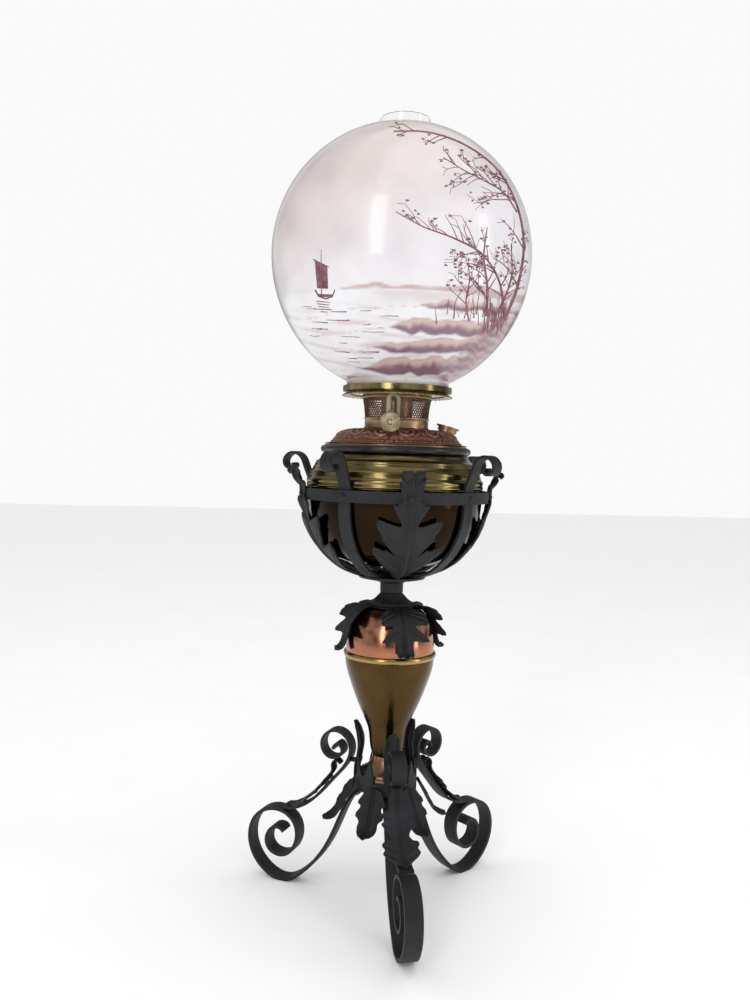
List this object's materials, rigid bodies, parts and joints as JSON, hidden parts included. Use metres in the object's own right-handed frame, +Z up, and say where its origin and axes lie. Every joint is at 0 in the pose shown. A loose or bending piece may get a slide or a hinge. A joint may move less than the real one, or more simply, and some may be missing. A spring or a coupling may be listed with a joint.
{
  "type": "oil lamp",
  "caption": "Table oil lamp: wrought-iron tripod and leafy cage, brass and copper font, central-draught burner with a wick knob, clear chimney and painted opal ball shade.",
  "frame": {"origin": "on the lamp's axis, at the floor it stands on", "axes": "+Z up along the lamp's axis; -Y towards the front leg"},
  "size_m": [0.2698, 0.2785, 0.779],
  "materials": {
    "wrought_iron": "blackened wrought iron, satin",
    "rivet_iron": "blackened iron, hammered",
    "steel": "plain steel",
    "foot_brass": "pinkish copper-toned brass",
    "aged_brass": "brushed, dark olive-brown patina",
    "bead_brass": "polished",
    "copper": "bright polished copper",
    "bowl_bronze": "dark mirror-like bronze",
    "shoulder_brass": "polished aged brass",
    "black_enamel": "satin black",
    "tank_brass": "plain sheet brass",
    "embossed_copper": "embossed, antique copper",
    "burner_brass": "plain",
    "cap_brass": "aged",
    "cork": "cork washer",
    "lattice_copper": "pierced, antique copper",
    "frame_nickel": "pale, worn plating",
    "knob_brass": "pale silvery brass",
    "wick_cotton": "woven cotton",
    "ring_brass": "greenish gold, polished",
    "clear_glass": "clear",
    "opal_glass": "glossy opal glass, painted with a waterside scene"
  },
  "bodies": {
    "stand": {"base_collar": "wrought_iron", "cage_hub": "wrought_iron", "gadroon_cap": "wrought_iron", "dome_leaf_cap": "wrought_iron", "hoop": "wrought_iron", "leg_front": "wrought_iron", "leg_right": "wrought_iron", "leg_left": "wrought_iron", "brace_front": "wrought_iron", "brace_right": "wrought_iron", "brace_left": "wrought_iron", "brace_leaf_front": "wrought_iron", "brace_leaf_right": "wrought_iron", "brace_leaf_left": "wrought_iron", "skirt_leaf_1": "wrought_iron", "skirt_leaf_2": "wrought_iron", "skirt_leaf_3": "wrought_iron", "skirt_leaf_4": "wrought_iron", "skirt_leaf_5": "wrought_iron", "skirt_leaf_6": "wrought_iron", "crown_leaf_front": "wrought_iron", "crown_leaf_right": "wrought_iron", "crown_leaf_left": "wrought_iron", "cage_strap_1": "wrought_iron", "cage_strap_2": "wrought_iron", "cage_strap_3": "wrought_iron", "cage_strap_4": "wrought_iron", "cage_strap_5": "wrought_iron", "cage_leaf_1": "wrought_iron", "cage_leaf_2": "wrought_iron", "cage_leaf_3": "wrought_iron", "cage_leaf_4": "wrought_iron", "rivets": "rivet_iron", "tie_rod": "steel", "rod_nuts": "steel", "stem_foot": "foot_brass", "stem": "aged_brass", "dome_bead": "bead_brass", "copper_dome": "copper", "holder_bowl": "bowl_bronze", "shoulder": "shoulder_brass", "rim_ring": "black_enamel"},
    "font": {"tank": "tank_brass", "tank_dome": "embossed_copper", "filler_neck": "burner_brass", "draft_tube": "burner_brass", "wick_tube": "burner_brass", "draft_cage": "lattice_copper", "rack_frame": "frame_nickel", "shade_ring": "ring_brass"},
    "wick_lift": {"wick_carrier": "burner_brass", "wick": "wick_cotton"},
    "wick_key": {"wick_knob": "knob_brass", "wick_spindle": "steel", "wick_pinion": "burner_brass"},
    "filler_seal": {"filler_washer": "cork"},
    "filler_top": {"filler_cap": "cap_brass"},
    "spreader": {"flame_spreader": "burner_brass"},
    "chimney_glass": {"chimney": "clear_glass"},
    "shade": {"globe": "opal_glass"}
  },
  "joints": [
    {"name": "font_lift", "type": "slide", "parent": "stand", "child": "font", "axis": [0, 0, 1], "range_m": [0, 0.13]},
    {"name": "wick_raise", "type": "slide", "parent": "font", "child": "wick_lift", "axis": [0, 0, 1], "range_m": [0, 0.02]},
    {"name": "wick_turn", "type": "hinge", "parent": "wick_lift", "child": "wick_key", "pos_m": [-0.01378, -0.04806, 0.481], "axis": [-0.2756, -0.9613, 0], "range_deg": [0, 480]},
    {"name": "filler_rise", "type": "slide", "parent": "font", "child": "filler_seal", "axis": [0.2541, -0.0494, 0.9659], "range_m": [0, 0.006]},
    {"name": "filler_unscrew", "type": "hinge", "parent": "filler_seal", "child": "filler_top", "pos_m": [0.04908, -0.00954, 0.4746], "axis": [0.2541, -0.0494, 0.9659], "range_deg": [0, 1085]},
    {"name": "spreader_lift", "type": "slide", "parent": "font", "child": "spreader", "axis": [0, 0, 1], "range_m": [0, 0.05]},
    {"name": "chimney_lift", "type": "slide", "parent": "font", "child": "chimney_glass", "axis": [0, 0, 1], "range_m": [0, 0.28]},
    {"name": "globe_lift", "type": "slide", "parent": "font", "child": "shade", "axis": [0, 0, 1], "range_m": [0, 0.28]}
  ],
  "couplings": [
    {"joint": "wick_turn", "follows": "wick_raise", "rad_per_m": 416.67},
    {"joint": "filler_unscrew", "follows": "filler_rise", "rad_per_m": 3141.6}
  ]
}
